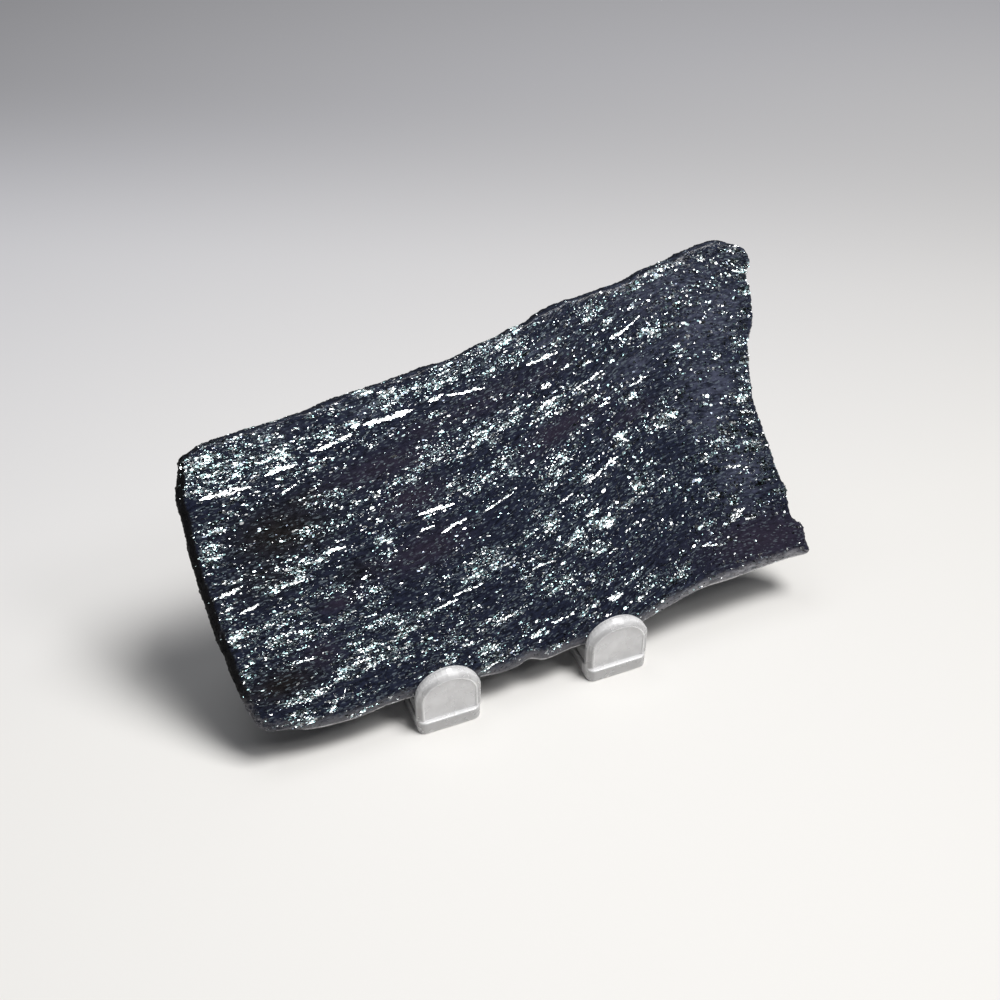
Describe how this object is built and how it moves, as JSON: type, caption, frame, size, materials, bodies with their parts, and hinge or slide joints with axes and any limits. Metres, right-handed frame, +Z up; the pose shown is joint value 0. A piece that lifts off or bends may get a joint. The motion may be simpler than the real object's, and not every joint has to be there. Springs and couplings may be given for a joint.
{
  "type": "specular hematite slab on easel",
  "caption": "Thin sawn slab of glittering specular hematite with a chipped rim, leaning back in a small clear plastic display easel.",
  "frame": {"origin": "bottom centre of the bounding box of slab and easel together, on the surface the easel stands on", "axes": "+X along the slab's length, to the right as seen from its polished face; +Y to the back, the way the slab leans; +Z up"},
  "size_m": [0.103, 0.04, 0.0568],
  "materials": {
    "hematite": "polished",
    "clear_plastic": "frosted clear"
  },
  "bodies": {
    "root": {"hematite_slab": "hematite", "display_easel": "clear_plastic"}
  },
  "joints": []
}
